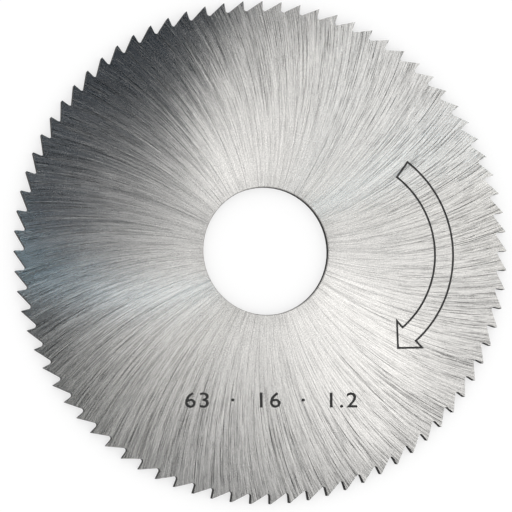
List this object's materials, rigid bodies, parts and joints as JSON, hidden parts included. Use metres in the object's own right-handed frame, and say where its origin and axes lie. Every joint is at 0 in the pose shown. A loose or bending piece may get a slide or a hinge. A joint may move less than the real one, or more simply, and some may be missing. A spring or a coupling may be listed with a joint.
{
  "type": "slitting saw",
  "caption": "Thin round steel saw blade for a milling arbor, with fine teeth round its rim, hollow-ground sides with curved grinding marks and a plain central bore.",
  "frame": {"origin": "on the bore's axis, halfway through the blade's thickness", "axes": "+Z along the bore's axis, out of the marked side; +X through a cutting edge; seen from +Z the saw turns clockwise"},
  "size_m": [0.063, 0.063, 0.0012],
  "materials": {
    "ground_steel": "hardened high speed steel, both sides cup-wheel ground with curved marks that run from bore to rim; gullets and bore dark"
  },
  "bodies": {
    "root": {"saw_blade": "ground_steel"}
  },
  "joints": []
}
